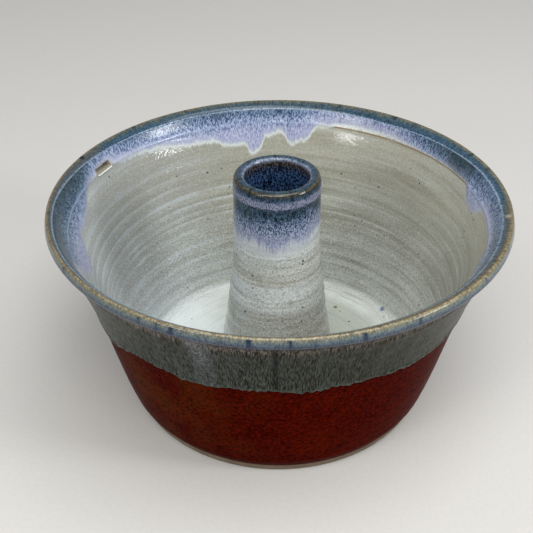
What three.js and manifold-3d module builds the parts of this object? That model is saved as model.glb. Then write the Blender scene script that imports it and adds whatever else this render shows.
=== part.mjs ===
import * as THREE from 'three';
import { mergeVertices } from 'three/addons/utils/BufferGeometryUtils.js';
import Module from 'manifold-3d';

// A wheel-thrown stoneware bundt pan. Millimetres, +Z up, the origin on the table under the
// middle of the pan, and the front of the pan towards -Y.
// The clay is thrown in three pieces that are luted together with coils of soft clay. Fired glaze
// coats lie on the clay: red outside, cream inside, and blue dipped over both rims.

// Floor disc
const FOOT_R = 74.6; // outside radius of the upright foot
const FOOT_BEVEL = 0.9; // bevel trimmed round the bottom edge
const FOOT_H = 4.3; // height of the upright foot, which is left unglazed
const FOOT_SWELL = 6; // height above the foot in which the wall swells out to its own line
const FLOOR_T = 7; // thickness of the floor

// Side wall, from the floor disc up to the groove under the lip
const NECK_R = 106.8; // outside radius in the groove
const NECK_Z = 101.6; // height of the groove
const FOOT_LEAN = 0.378; // outward lean at the foot, per unit of height
const NECK_LEAN = 0.55; // outward lean at the groove, per unit of height
const WALL_FOOT_T = 5; // wall thickness at the foot
const WALL_TOP_T = 3.6; // wall thickness at the inside crease

// Lip
const LIP_OUT = 3; // overhang of the lip past the groove
const LIP_H = 5.4; // height of the lip above the groove
const LIP_SOFFIT = 1.3; // rise of the lip's underside
const LIP_BATTER = 1; // inward lean of the lip's outer face
const LIP_W = 4.4; // width across the top of the lip
const LIP_DROP = 1.1; // fall of the lip's top towards the inside
const LIP_ROUND = 1.1; // rounding of the lip's outer edges
const CREASE_DROP = 8.7; // height of the flared band between the lip and the inside crease

// Centre tube
const TUBE_Z = 117.7; // height of the top of the tube
const TUBE_FOOT_R = 30.2; // outside radius at the floor
const TUBE_NECK_R = 19.9; // outside radius in the groove under the tube's lip
const TUBE_LEAN = 0.17; // inward lean at the floor, per unit of height
const TUBE_NECK_DROP = 8.5; // groove below the top
const TUBE_SWELL = 0.7; // swell of the tube's lip past the groove
const TUBE_SWELL_DROP = 4.2; // widest part of the tube's lip below the top
const TUBE_FOOT_T = 6; // wall thickness at the floor
const TUBE_TOP_T = 3.9; // wall thickness at the groove
const TUBE_ROUND = 1.5; // rounding of the tube's top edges

// Luting coils, smoothed into the inside corners
const WALL_COIL = 6; // reach of the coil up the wall and across the floor
const TUBE_COIL = 5; // reach of the coil up the tube and across the floor

// Hanging slot, cut through the wall at the inside crease
const SLOT_W = 12.4;
const SLOT_H = 3.8;
const SLOT_ROUND = 0.7;
const SLOT_DROP = 0.5; // bottom of the slot below the crease
const SLOT_ANGLE = 155.1; // degrees from +X towards +Y

// Glaze
const COAT = 0.3; // thickness of one fired coat
const BOND = 0.2; // clearance between a coat and what it covers
const RED_DROP = 5.6; // top edge of the red coat below the groove
const BAND_Z = 66.9; // lower edge of the blue coat outside, where it hasn't run
const CREASE_LAP = 0.5; // lower edge of the blue coat below the inside crease, where it hasn't run
const TUBE_BAND_Z = 86; // lower edge of the blue coat on the tube, where it hasn't run
const BORE_BAND_Z = 84; // lower edge of the blue coat inside the tube
const TUBE_LAP = 2; // top edge of the cream coat below the widest part of the tube's lip

// Runs of the blue glaze: angle and half width in degrees, and length as a share of RUN_L
const RUN_L = 10;
const RUN_BLUNT = 3; // the higher, the squarer the tongues
const BAND_RUNS = [[-150, 13, 0.8], [-112, 8, 0.18], [-83, 5, 0.14], [-46, 14, 0.28], [20, 11, 0.4],
  [72, 8, 0.3], [112, 9, 0.5], [163, 12, 0.3]];
const CREASE_RUNS = [[182, 14, 1], [195.5, 9, 1.5], [140, 9, 0.24], [112, 20, 0.76], [106, 6, 0.22],
  [98.8, 5, 0.92], [90, 6, 0.32], [82.8, 5, 1.02], [10, 5.6, 0.64], [-4, 14, 0.22], [-26, 8, 0.75],
  [-58, 12, 0.9], [-97, 8, 1.4], [-128, 10, 0.9]];
const TUBE_RUNS = [[-95, 13, 0.32], [-157, 20, 0.24], [-25, 18, 0.24], [60, 18, 0.4], [125, 15, 0.3]];

// Fineness
const SIDES = 44;
const WALL_STEPS = 6;
const TUBE_STEPS = 4;
const ROUND_STEPS = 2;
const COIL_STEPS = 3;
const RUN_STEPS = 3;

const wasm = await Module();
wasm.setup();

// Every shape starts as a meridian line: points of radius and height, walked from the foot up the
// outside, over the lip and down the inside, so that the air is on the right of the walk.
const at = (r, z) => new THREE.Vector2(r, z);
const mix = THREE.MathUtils.lerp;

// The wall's own line outside: a cubic in height, with a set lean at both ends
const wallCurve = new THREE.CubicBezierCurve(
  at(FOOT_R, 0),
  at(FOOT_R + (FOOT_LEAN * NECK_Z) / 3, NECK_Z / 3),
  at(NECK_R - (NECK_LEAN * NECK_Z) / 3, (2 * NECK_Z) / 3),
  at(NECK_R, NECK_Z),
);

// Outside of the clay above the upright foot: a swell out to the wall's own line
function wallOutside(z) {
  const setback = wallCurve.getPoint(FOOT_H / NECK_Z).x - FOOT_R;
  const left = THREE.MathUtils.clamp(1 - (z - FOOT_H) / FOOT_SWELL, 0, 1);
  return at(wallCurve.getPoint(z / NECK_Z).x - setback * left ** 2, z);
}

// The wall's thickness is measured square to its own line
function wallInside(z) {
  const lean = wallCurve.getTangent(z / NECK_Z);
  const thick = mix(WALL_FOOT_T, WALL_TOP_T, z / NECK_Z);
  return at(wallCurve.getPoint(z / NECK_Z).x - thick / lean.y, z);
}

const tubeNeckZ = TUBE_Z - TUBE_NECK_DROP;
const tubeRise = tubeNeckZ - FLOOR_T;
const tubeCurve = new THREE.CubicBezierCurve(
  at(TUBE_FOOT_R, FLOOR_T),
  at(TUBE_FOOT_R - (TUBE_LEAN * tubeRise) / 3, FLOOR_T + tubeRise / 3),
  at(TUBE_NECK_R, FLOOR_T + (2 * tubeRise) / 3),
  at(TUBE_NECK_R, tubeNeckZ),
);

function tubeOutside(z) {
  return tubeCurve.getPoint((z - FLOOR_T) / tubeRise);
}

function tubeInside(z) {
  const thick = mix(TUBE_FOOT_T, TUBE_TOP_T, (z - FLOOR_T) / tubeRise);
  return at(tubeOutside(z).x - thick, z);
}

// Points of a line at evenly spaced heights
function heights(from, to, steps, pointAt) {
  return Array.from({ length: steps + 1 }, (_, i) => pointAt(mix(from, to, i / steps)));
}

// A corner eased by a curve that starts and ends `reach` away from it
function eased(before, corner, after, reach) {
  const start = before.clone().sub(corner).setLength(reach).add(corner);
  const end = after.clone().sub(corner).setLength(reach).add(corner);
  return new THREE.QuadraticBezierCurve(start, corner, end).getPoints(ROUND_STEPS);
}

// Lip: a soffit, an upright outer face, a narrow top that falls inwards, then a flare to the crease
const lipR = NECK_R + LIP_OUT;
const lipTop = NECK_Z + LIP_H;
const neck = at(NECK_R, NECK_Z);
const lipLow = at(lipR, NECK_Z + LIP_SOFFIT);
const lipEdge = at(lipR - LIP_BATTER, lipTop);
const lipRidge = at(lipR - LIP_W, lipTop - LIP_DROP);
const creaseZ = lipRidge.y - CREASE_DROP;
const wallCoilZ = FLOOR_T + WALL_COIL;
const tubeCoilZ = FLOOR_T + TUBE_COIL;

const footTop = at(FOOT_R, FOOT_H);
const redTop = NECK_Z - RED_DROP;
const wallRise = [...heights(FLOOR_T, redTop, WALL_STEPS, wallOutside), neck];
const lipFace = [
  ...eased(neck, lipLow, lipEdge, LIP_ROUND),
  ...eased(lipLow, lipEdge, lipRidge, LIP_ROUND),
];
const wallFall = heights(creaseZ, wallCoilZ, WALL_STEPS - 1, wallInside);
const wallCoilFace = new THREE.QuadraticBezierCurve(
  wallInside(wallCoilZ),
  wallInside(FLOOR_T),
  at(wallInside(FLOOR_T).x - WALL_COIL, FLOOR_T),
).getPoints(COIL_STEPS);
const tubeCoilFace = new THREE.QuadraticBezierCurve(
  at(TUBE_FOOT_R + TUBE_COIL, FLOOR_T),
  at(TUBE_FOOT_R, FLOOR_T),
  tubeOutside(tubeCoilZ),
).getPoints(COIL_STEPS);
const tubeClimb = heights(tubeCoilZ, tubeNeckZ, TUBE_STEPS, tubeOutside);

// Tube's lip: a slight swell under a rounded top
const boreR = TUBE_NECK_R - TUBE_TOP_T;
const tubeSwell = at(TUBE_NECK_R + TUBE_SWELL, TUBE_Z - TUBE_SWELL_DROP);
const tubeEdge = at(tubeSwell.x - TUBE_SWELL, TUBE_Z);
const boreEdge = at(boreR, TUBE_Z);
const tubeCrown = [
  tubeSwell,
  ...eased(tubeSwell, tubeEdge, boreEdge, TUBE_ROUND),
  ...eased(tubeEdge, boreEdge, at(boreR, tubeNeckZ), TUBE_ROUND),
];
const bore = [at(boreR, tubeNeckZ), tubeInside(BORE_BAND_Z), tubeInside(tubeCoilZ), tubeInside(FLOOR_T)];

// Closed outline turned into a solid of revolution about +Z
function turned(outline) {
  return new THREE.LatheGeometry([...outline, outline[0]], SIDES).rotateX(Math.PI / 2);
}

// The same, with an outline that changes from one side of the pan to the next
function turnedBy(outlineAt) {
  const geometry = turned(outlineAt(0));
  const position = geometry.getAttribute('position');
  const count = position.count / (SIDES + 1);
  for (let side = 0; side <= SIDES; side += 1) {
    const turn = ((side % SIDES) / SIDES) * 360 - 90;
    const outline = outlineAt(turn);
    const angle = THREE.MathUtils.degToRad(turn);
    for (let i = 0; i < count; i += 1) {
      const { x: r, y: z } = outline[i % outline.length];
      position.setXYZ(side * count + i, r * Math.cos(angle), r * Math.sin(angle), z);
    }
  }
  geometry.computeVertexNormals();
  return geometry;
}

function toSolid(geometry) {
  const bare = geometry.clone();
  bare.deleteAttribute('normal');
  bare.deleteAttribute('uv');
  const merged = mergeVertices(bare, 1e-4);
  return new wasm.Manifold(
    new wasm.Mesh({
      numProp: 3,
      vertProperties: new Float32Array(merged.getAttribute('position').array),
      triVerts: new Uint32Array(merged.getIndex().array),
    }),
  );
}

function cutAway(geometry, tool) {
  const mesh = toSolid(geometry).subtract(toSolid(tool)).getMesh();
  const result = new THREE.BufferGeometry();
  result.setAttribute('position', new THREE.BufferAttribute(new Float32Array(mesh.vertProperties), 3));
  result.setIndex(Array.from(mesh.triVerts));
  result.computeVertexNormals();
  return result;
}

// Line moved towards the air, with mitred corners; `gap` gives the distance at each point
function moved(line, gap) {
  const sideOf = (a, b) => at(b.y - a.y, a.x - b.x).normalize();
  return line.map((point, i) => {
    const first = sideOf(line[Math.max(i - 1, 0)], line[Math.max(i, 1)]);
    const last = line.length - 1;
    const next = sideOf(line[Math.min(i, last - 1)], line[Math.min(i + 1, last)]);
    const mitre = first.clone().add(next).divideScalar(1 + first.dot(next));
    return point.clone().addScaledVector(mitre, gap(i));
  });
}

// Point at a whole or part index along a line
function along(line, index) {
  const i = Math.min(Math.floor(index), line.length - 2);
  return line[i].clone().lerp(line[i + 1], index - i);
}

// Part index at which a line climbs or falls through a height, looking from index `from` on
function indexAt(line, z, from) {
  for (let i = from; i < line.length - 1; i += 1) {
    const part = (z - line[i].y) / (line[i + 1].y - line[i].y);
    if (part >= 0 && part <= 1) return i + part;
  }
  throw new RangeError(`the line does not pass through height ${z}`);
}

// Outline of a coat: its air face along the line, then back along its clay face
function coatOutline(line, indices, gap) {
  const air = moved(line, (i) => gap(i) + COAT);
  const clay = moved(line, gap);
  return [
    ...indices.map((index) => along(air, index)),
    ...indices.map((index) => along(clay, index)).reverse(),
  ];
}

function span(from, to) {
  return Array.from({ length: to - from + 1 }, (_, i) => from + i);
}

function spread(from, to, steps) {
  return Array.from({ length: steps }, (_, i) => mix(from, to, i / steps));
}

// How far the glaze has run at an angle: each run is a blunt tongue
function runAt(runs, angle) {
  return runs.reduce((sum, [middle, half, share]) => {
    const away = THREE.MathUtils.euclideanModulo(angle - middle + 180, 360) - 180;
    return sum + RUN_L * share * Math.exp(-(Math.abs(away / half) ** RUN_BLUNT));
  }, 0);
}

// Clay pieces
function floorDisc() {
  return turned([
    at(FOOT_R - FOOT_BEVEL, 0),
    at(FOOT_R, FOOT_BEVEL),
    footTop,
    wallOutside(FLOOR_T),
    tubeInside(FLOOR_T),
    at(tubeInside(FLOOR_T).x, 0),
  ]);
}

function sideWall() {
  return turned([...wallRise, ...lipFace, lipRidge, ...wallFall, wallInside(FLOOR_T)]);
}

function centreTube() {
  const outside = [tubeOutside(FLOOR_T), ...tubeClimb, ...tubeCrown];
  return turned([...outside, ...bore]);
}

function wallSeamCoil() {
  return turned([...wallCoilFace, wallInside(FLOOR_T)]);
}

function tubeSeamCoil() {
  return turned([...tubeCoilFace, at(TUBE_FOOT_R, FLOOR_T)]);
}

// Glaze coats
const overClay = BOND;
const overCoat = BOND + COAT + BOND;

function redCoat() {
  const line = [footTop, ...wallRise.slice(0, -1)];
  return turned(coatOutline(line, span(0, line.length - 1), () => overClay));
}

function linerCoat() {
  const tube = [...tubeClimb.slice(1), tubeSwell];
  const line = [lipRidge, ...wallFall.slice(0, -1), ...wallCoilFace, ...tubeCoilFace, ...tube];
  const stop = indexAt(line, tubeSwell.y - TUBE_LAP, line.length - 2);
  const indices = [...span(0, line.length - 2), stop];
  return turned(coatOutline(line, indices, () => overClay));
}

function rimCoat() {
  const line = [...wallRise, ...lipFace, lipRidge, ...wallFall];
  const low = line.findIndex((point) => point.y > BAND_Z);
  const ridge = line.indexOf(lipRidge);
  const crease = ridge + 1;
  const onLip = (i) => i >= wallRise.length - 1 && i < ridge;
  const gap = (i) => (onLip(i) ? overClay : overCoat);
  return turnedBy((angle) => {
    const start = indexAt(line, BAND_Z - runAt(BAND_RUNS, angle), 0);
    const stop = indexAt(line, creaseZ - CREASE_LAP - runAt(CREASE_RUNS, angle), crease);
    const indices = [
      ...spread(start, low, RUN_STEPS - 1),
      ...span(low, ridge),
      ...spread(crease, stop, RUN_STEPS),
      stop,
    ];
    return coatOutline(line, indices, gap);
  });
}

function tubeCoat() {
  const line = [...tubeClimb, ...tubeCrown, ...bore.slice(0, 2)];
  const neckIndex = tubeClimb.length - 1;
  const gap = (i) => (i <= neckIndex + 1 ? overCoat : overClay);
  return turnedBy((angle) => {
    const start = indexAt(line, TUBE_BAND_Z - runAt(TUBE_RUNS, angle), 0);
    const indices = [...spread(start, neckIndex, RUN_STEPS - 1), ...span(neckIndex, line.length - 1)];
    return coatOutline(line, indices, gap);
  });
}

// Hanging slot: a rounded bar that points outwards from the axis
function slotTool() {
  const half = SLOT_W / 2;
  const bottom = creaseZ - SLOT_DROP;
  const top = bottom + SLOT_H;
  const shape = new THREE.Shape();
  shape.moveTo(half, bottom + SLOT_ROUND);
  shape.lineTo(half, top - SLOT_ROUND);
  shape.quadraticCurveTo(half, top, half - SLOT_ROUND, top);
  shape.lineTo(SLOT_ROUND - half, top);
  shape.quadraticCurveTo(-half, top, -half, top - SLOT_ROUND);
  shape.lineTo(-half, bottom + SLOT_ROUND);
  shape.quadraticCurveTo(-half, bottom, SLOT_ROUND - half, bottom);
  shape.lineTo(half - SLOT_ROUND, bottom);
  shape.quadraticCurveTo(half, bottom, half, bottom + SLOT_ROUND);
  const reach = lipR - wallInside(creaseZ).x + NECK_R - FOOT_R;
  const tool = new THREE.ExtrudeGeometry(shape, {
    depth: reach,
    bevelEnabled: false,
    curveSegments: ROUND_STEPS,
  });
  tool.translate(0, 0, lipR - reach / 2);
  const angle = THREE.MathUtils.degToRad(SLOT_ANGLE);
  const outward = new THREE.Vector3(Math.cos(angle), Math.sin(angle), 0);
  const up = new THREE.Vector3(0, 0, 1);
  const across = up.clone().cross(outward);
  return tool.applyMatrix4(new THREE.Matrix4().makeBasis(across, up, outward));
}

function finish(color, roughness) {
  return new THREE.MeshStandardMaterial({ color, roughness, metalness: 0 });
}

function piece(name, geometry, material) {
  const mesh = new THREE.Mesh(geometry, material);
  mesh.name = name;
  return mesh;
}

const slot = slotTool();

const clay = new THREE.Group();
clay.add(
  piece('floor_disc', floorDisc(), finish('#a49a8a', 0.9)),
  piece('side_wall', cutAway(sideWall(), slot), finish('#a89c88', 0.85)),
  piece('centre_tube', centreTube(), finish('#a89c88', 0.85)),
  piece('wall_seam_coil', wallSeamCoil(), finish('#ab9f8c', 0.85)),
  piece('tube_seam_coil', tubeSeamCoil(), finish('#ab9f8c', 0.85)),
);

const glaze = new THREE.Group();
glaze.add(
  piece('red_coat', redCoat(), finish('#5a160c', 0.2)),
  piece('liner_coat', cutAway(linerCoat(), slot), finish('#c4c3b6', 0.25)),
  piece('rim_coat', cutAway(rimCoat(), slot), finish('#6f7f93', 0.2)),
  piece('tube_coat', tubeCoat(), finish('#4a5f7d', 0.2)),
);

const pan = new THREE.Group();
pan.add(clay, glaze);

export default pan;
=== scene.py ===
import math

import bpy
import numpy as np
from mathutils import Matrix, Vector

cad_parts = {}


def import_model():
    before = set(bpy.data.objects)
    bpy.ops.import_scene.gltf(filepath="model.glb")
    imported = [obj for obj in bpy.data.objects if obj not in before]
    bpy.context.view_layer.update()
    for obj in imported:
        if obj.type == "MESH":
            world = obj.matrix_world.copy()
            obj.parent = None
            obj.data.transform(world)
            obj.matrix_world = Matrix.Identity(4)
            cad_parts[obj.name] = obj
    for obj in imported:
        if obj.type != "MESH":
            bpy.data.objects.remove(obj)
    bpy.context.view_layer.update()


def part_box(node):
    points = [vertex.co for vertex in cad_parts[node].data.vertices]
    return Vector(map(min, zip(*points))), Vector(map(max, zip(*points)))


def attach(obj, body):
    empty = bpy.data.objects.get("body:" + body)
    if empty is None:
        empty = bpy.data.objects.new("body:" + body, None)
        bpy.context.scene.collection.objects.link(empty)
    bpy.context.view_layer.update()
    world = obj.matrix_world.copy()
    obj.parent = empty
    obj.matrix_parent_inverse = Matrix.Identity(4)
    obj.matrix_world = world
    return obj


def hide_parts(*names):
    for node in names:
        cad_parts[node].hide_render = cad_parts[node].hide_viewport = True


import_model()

# A stoneware bundt pan: thrown clay pieces under red, cream and blue glaze coats.
# Sizes are in millimetres and angles in degrees from +X towards +Y; the front of the pan is at -90.
MM = 0.001


def box_top(node):
    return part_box(node)[1].z / MM


# Clay
FLOOR_T = box_top("floor_disc")
FOOT_R = 74.6
FOOT_BEVEL = 0.9
FOOT_H = 4.3
FOOT_SWELL = 6.0
FOOT_LEAN = 0.378
NECK_R = 106.8
NECK_Z = 101.6
NECK_LEAN = 0.55
WALL_FOOT_T = 5.0
WALL_TOP_T = 3.6
WALL_COIL = box_top("wall_seam_coil") - FLOOR_T

# Lip of the wall, from the groove under it to the crease inside it
LIP_OUT = 3.0
LIP_H = 5.4
LIP_SOFFIT = 1.3
LIP_BATTER = 1.0
LIP_W = 4.4
LIP_DROP = 1.1
LIP_ROUND = 1.1
CREASE_DROP = 8.7
NECK_EASE = 3.0
NECK_ROUND = 1.5

# Centre tube
TUBE_Z = box_top("centre_tube")
TUBE_FOOT_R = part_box("centre_tube")[1].x / MM
TUBE_LEAN = 0.17
TUBE_NECK_R = 19.9
TUBE_NECK_DROP = 8.5
TUBE_SWELL = 0.7
TUBE_SWELL_DROP = 4.2
TUBE_FOOT_T = 6.0
TUBE_TOP_T = 3.9
TUBE_ROUND = 1.5
TUBE_COIL = box_top("tube_seam_coil") - FLOOR_T

# Hanging slot
SLOT_W = 12.4
SLOT_H = 3.8
SLOT_ROUND = 0.7
SLOT_DROP = 0.5
SLOT_ANGLE = 155.1
SLOT_ROLL = 0.3
SLOT_LINING_T = 0.2
SLOT_REACH = 12.0

# Glaze: each coat's air face stands one COAT above what it covers, and its back is sunk a little
COAT = 0.5
SINK = 0.08
RED_DROP = 5.6
BAND_Z = 66.9
CREASE_LAP = 0.5
TUBE_BAND_Z = 85.0
BORE_BAND_Z = 84.0
TUBE_LAP = 2.0

# How far in from each wavy edge of a coat its rows are close together
RED_EDGE = 4.0
BAND_EDGE = 3.0
CREASE_EDGE = 1.5
TUBE_EDGE = 2.0
BORE_EDGE = 3.0

# Runs of the blue glaze: angle, half width, length
BAND_RUNS = [
    (-150, 13, 8.0), (-112, 8, 1.8), (-83, 5, 1.4), (-46, 14, 2.8), (20, 11, 4.0), (72, 8, 3.0),
    (112, 9, 5.0), (163, 12, 3.0),
]
CREASE_RUNS = [
    (182, 14, 10.0), (195.5, 9, 15.0), (SLOT_ANGLE, 5, -0.9), (140, 9, 2.4), (112, 20, 7.6),
    (104, 6.5, 4.0), (97.9, 2.8, 8.0), (90, 6, 4.0), (83.1, 4.5, 9.4), (77, 4.5, 2.0), (10, 5.6, 6.4),
    (-4, 14, 2.2), (-26, 8, 7.5), (-58, 12, 9.0), (-97, 8, 14.0), (-128, 10, 9.0),
]
CREASE_BLUNT = 4
TUBE_RUNS = [(-97, 21, 3.0), (-157, 20, 1.2), (-20, 22, -2.4), (60, 18, 4.0), (125, 15, 3.0)]

# Where lavender starts higher up in the blue (or lower down): angle, half width, millimetres
LAVENDER_RISES = [
    (174, 17, -8.5), (204, 16, -7.0), (32, 14, -5.0), (155, 8, 6.0), (112, 10, -1.5), (90, 9, -2.0),
    (66, 15, 8.0), (45, 10, 4.5), (-6, 13, 2.0), (-60, 30, -2.0), (-120, 20, 2.0),
]
TEAL_LAP = (22, 6.2, -6.0)
TEAL_BLUNT = 12
TUBE_LAVENDER_RISES = [(-38, 14, -3.0), (-140, 18, 1.5), (80, 25, -2.0)]

# Dark dashes across the lip's face, the lip's top and the tube's top: angle, strength
FACE_DASHES = [
    (-158, 0.6), (-146, 0.9), (-120, 0.5), (-115.6, 0.5), (-112.2, 1), (-95.8, 1), (-87.5, 0.7),
    (-82.4, 0.3), (-72.2, 0.8), (-59.5, 0.6), (-38, 0.4), (-24, 0.8), (16, 0.5), (49, 1), (77, 0.6),
    (131, 0.9), (168, 0.5),
]
TOP_DASHES = [
    (159.0, 1), (159.7, 1), (137, 0.7), (119, 0.6), (96, 0.4), (71, 0.6), (53, 1), (46, 0.6), (23, 0.8),
    (14, 0.6), (-31, 0.4), (-68.8, 0.5), (-118, 0.4), (-171, 0.4),
]
TUBE_DASHES = [
    (-166, 0.8), (-131, 0.9), (-112, 0.6), (-97, 0.4), (-71, 0.9), (-48, 0.5), (-22, 0.7), (14, 0.5),
    (47, 0.6), (95, 1), (139, 0.6),
]
DASH_HALF = 0.42
TUBE_DASH_HALF = 2.4

# Fineness
TURNS = 720
CREAM_TURNS = 360
CLAY_TURNS = 240
EDGE_ROWS = 20
EDGE_CROWD = 1.6
ROW_PITCH = 1.3
BACK_STEP = 4
TRIM_ROWS = 38
SLOT_STEPS = 32
LINING_STEPS = 12


# Shape of the clay: one meridian, walked up the outside, over the lip, down the inside, across the
# floor, up the tube and down its bore, with the air on the right of the walk

def cubic(z, low, high):
    """Radius at a height, from (height, radius, lean) at two ends."""
    (z0, r0, lean0), (z1, r1, lean1) = low, high
    rise = z1 - z0
    t = (z - z0) / rise
    return ((2 * t - 3) * t * t + 1) * r0 + (3 - 2 * t) * t * t * r1 + (
        ((t - 2) * t + 1) * t * lean0 + (t - 1) * t * t * lean1) * rise


def wall_outside(z):
    return cubic(z, (0, FOOT_R, FOOT_LEAN), (NECK_Z, NECK_R, NECK_LEAN))


def wall_foot(z):
    """Radius outside near the floor: an upright foot, then a swell out to the wall."""
    setback = wall_outside(FOOT_H) - FOOT_R
    left = np.clip(1 - (z - FOOT_H) / FOOT_SWELL, 0, 1)
    return np.where(z < FOOT_H, FOOT_R, wall_outside(z) - setback * left ** 2)


def wall_inside(z):
    lean = wall_outside(z + 0.5) - wall_outside(z - 0.5)
    thick = WALL_FOOT_T + (WALL_TOP_T - WALL_FOOT_T) * z / NECK_Z
    return wall_outside(z) - thick * np.hypot(1, lean)


def tube_outside(z):
    return cubic(z, (FLOOR_T, TUBE_FOOT_R, -TUBE_LEAN), (TUBE_Z - TUBE_NECK_DROP, TUBE_NECK_R, 0))


def tube_inside(z):
    share = np.clip((z - FLOOR_T) / (TUBE_Z - TUBE_NECK_DROP - FLOOR_T), 0, 1)
    outside = tube_outside(np.clip(z, FLOOR_T, TUBE_Z - TUBE_NECK_DROP))
    return outside - (TUBE_FOOT_T + (TUBE_TOP_T - TUBE_FOOT_T) * share)


def climb(radius_at, low, high, steps=40):
    z = np.linspace(low, high, steps)
    return np.column_stack([radius_at(z), z])


def eased(before, corner, after, reach, steps=10):
    """A corner rounded by a curve that starts and ends `reach` away from it."""
    before, corner, after = (np.asarray(p, float) for p in (before, corner, after))
    start = corner + (before - corner) * (reach / np.hypot(*(before - corner)))
    end = corner + (after - corner) * (reach / np.hypot(*(after - corner)))
    t = np.linspace(0, 1, steps)[:, None]
    return (1 - t) ** 2 * start + 2 * t * (1 - t) * corner + t * t * end


neck = (NECK_R, NECK_Z)
lip_low = (NECK_R + LIP_OUT, NECK_Z + LIP_SOFFIT)
lip_edge = (NECK_R + LIP_OUT - LIP_BATTER, NECK_Z + LIP_H)
lip_ridge = (NECK_R + LIP_OUT - LIP_W, NECK_Z + LIP_H - LIP_DROP)
crease_z = lip_ridge[1] - CREASE_DROP
crease = (wall_inside(crease_z), crease_z)
floor_corner = (wall_inside(FLOOR_T), FLOOR_T)
tube_corner = (TUBE_FOOT_R, FLOOR_T)
tube_neck_z = TUBE_Z - TUBE_NECK_DROP
tube_swell = (TUBE_NECK_R + TUBE_SWELL, TUBE_Z - TUBE_SWELL_DROP)
tube_edge = (TUBE_NECK_R, TUBE_Z)
bore_edge = (TUBE_NECK_R - TUBE_TOP_T, TUBE_Z)
bore_neck = (TUBE_NECK_R - TUBE_TOP_T, tube_neck_z)


def soft(values, sigma):
    """Values smoothed along a line whose ends stay put."""
    reach = int(4 * sigma)
    weights = np.exp(-0.5 * (np.arange(-reach, reach + 1) / sigma) ** 2)
    mirrored = np.concatenate([
        2 * values[0] - values[reach:0:-1],
        values,
        2 * values[-1] - values[-2:-reach - 2:-1],
    ])
    return np.convolve(mirrored, weights / weights.sum(), "valid")


class Meridian:
    """Radius and height against the length walked along a line."""

    STEP = 0.2
    SOFTEN = 0.4
    BEND_ROWS = 2.2

    def __init__(self, points):
        legs = np.hypot(*np.diff(points, axis=0).T)
        walked = np.concatenate([[0], np.cumsum(legs)])
        self.s = np.arange(0, walked[-1], self.STEP)
        sigma = self.SOFTEN / self.STEP
        self.r = soft(np.interp(self.s, walked, points[:, 0]), sigma)
        self.z = soft(np.interp(self.s, walked, points[:, 1]), sigma)
        dr = np.gradient(self.r)
        dz = np.gradient(self.z)
        size = np.hypot(dr, dz)
        self.out_r = dz / size
        self.out_z = -dr / size
        heading = np.unwrap(np.arctan2(dz, dr))
        bend = np.abs(np.gradient(heading, self.STEP))
        self.crowd = np.cumsum(1 / ROW_PITCH + self.BEND_ROWS * bend) * self.STEP

    def place(self, s, lift):
        """Radius and height of points that stand `lift` above the line."""
        r, z, out_r, out_z = (np.interp(s, self.s, v) for v in (self.r, self.z, self.out_r, self.out_z))
        return r + out_r * lift, z + out_z * lift

    def station(self, point):
        """Length walked to the place nearest to a point."""
        return self.s[np.argmin(np.hypot(self.r - point[0], self.z - point[1]))]

    def station_at(self, z, first, last):
        """Length walked to a height, on a stretch that only climbs or only falls."""
        on = (self.s >= first) & (self.s <= last)
        order = np.argsort(self.z[on])
        return np.interp(z, self.z[on][order], self.s[on][order])

    def rows(self, first, last):
        """Stations from first to last, closer together where the line bends."""
        low, high = np.interp([first, last], self.s, self.crowd)
        return np.interp(np.linspace(low, high, math.ceil(high - low) + 1), self.crowd, self.s)


pan = Meridian(np.vstack([
    [(FOOT_R - FOOT_BEVEL, 0)],
    climb(wall_foot, FOOT_BEVEL, NECK_Z - NECK_EASE, steps=120),
    eased((wall_outside(NECK_Z - 2 * NECK_EASE), NECK_Z - 2 * NECK_EASE), neck, lip_low, NECK_ROUND),
    eased(neck, lip_low, lip_edge, LIP_ROUND),
    eased(lip_low, lip_edge, lip_ridge, LIP_ROUND),
    [lip_ridge],
    climb(wall_inside, crease_z, FLOOR_T + WALL_COIL),
    eased((wall_inside(FLOOR_T + WALL_COIL), FLOOR_T + WALL_COIL), floor_corner, tube_corner, WALL_COIL),
    eased(floor_corner, tube_corner, (tube_outside(FLOOR_T + TUBE_COIL), FLOOR_T + TUBE_COIL), TUBE_COIL),
    climb(tube_outside, FLOOR_T + TUBE_COIL, tube_neck_z),
    [tube_swell],
    eased(tube_swell, tube_edge, bore_edge, TUBE_ROUND),
    eased(tube_edge, bore_edge, bore_neck, TUBE_ROUND),
    climb(tube_inside, tube_neck_z, 0),
]))

# Stations: lengths walked along the meridian to its features
S_NECK = pan.station(neck)
S_LIP = pan.station(lip_edge)
S_RIDGE = pan.station(lip_ridge)
S_CREASE = pan.station(crease)
S_FLOOR = pan.station((floor_corner[0] - WALL_COIL, FLOOR_T))
S_TUBE = pan.station((TUBE_FOOT_R + TUBE_COIL, FLOOR_T))
S_TUBE_NECK = pan.station((TUBE_NECK_R, tube_neck_z))
S_SWELL = pan.station(tube_swell)
S_CROWN = pan.station(tube_edge)
S_BORE = pan.station(bore_edge)
S_END = pan.s[-1]


def outside_at(z):
    return pan.station_at(z, 0, S_NECK)


def inside_at(z):
    return pan.station_at(z, S_CREASE, S_FLOOR)


def tube_at(z):
    return pan.station_at(z, S_TUBE, S_SWELL)


def bore_at(z):
    return pan.station_at(z, S_BORE, S_END)


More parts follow.
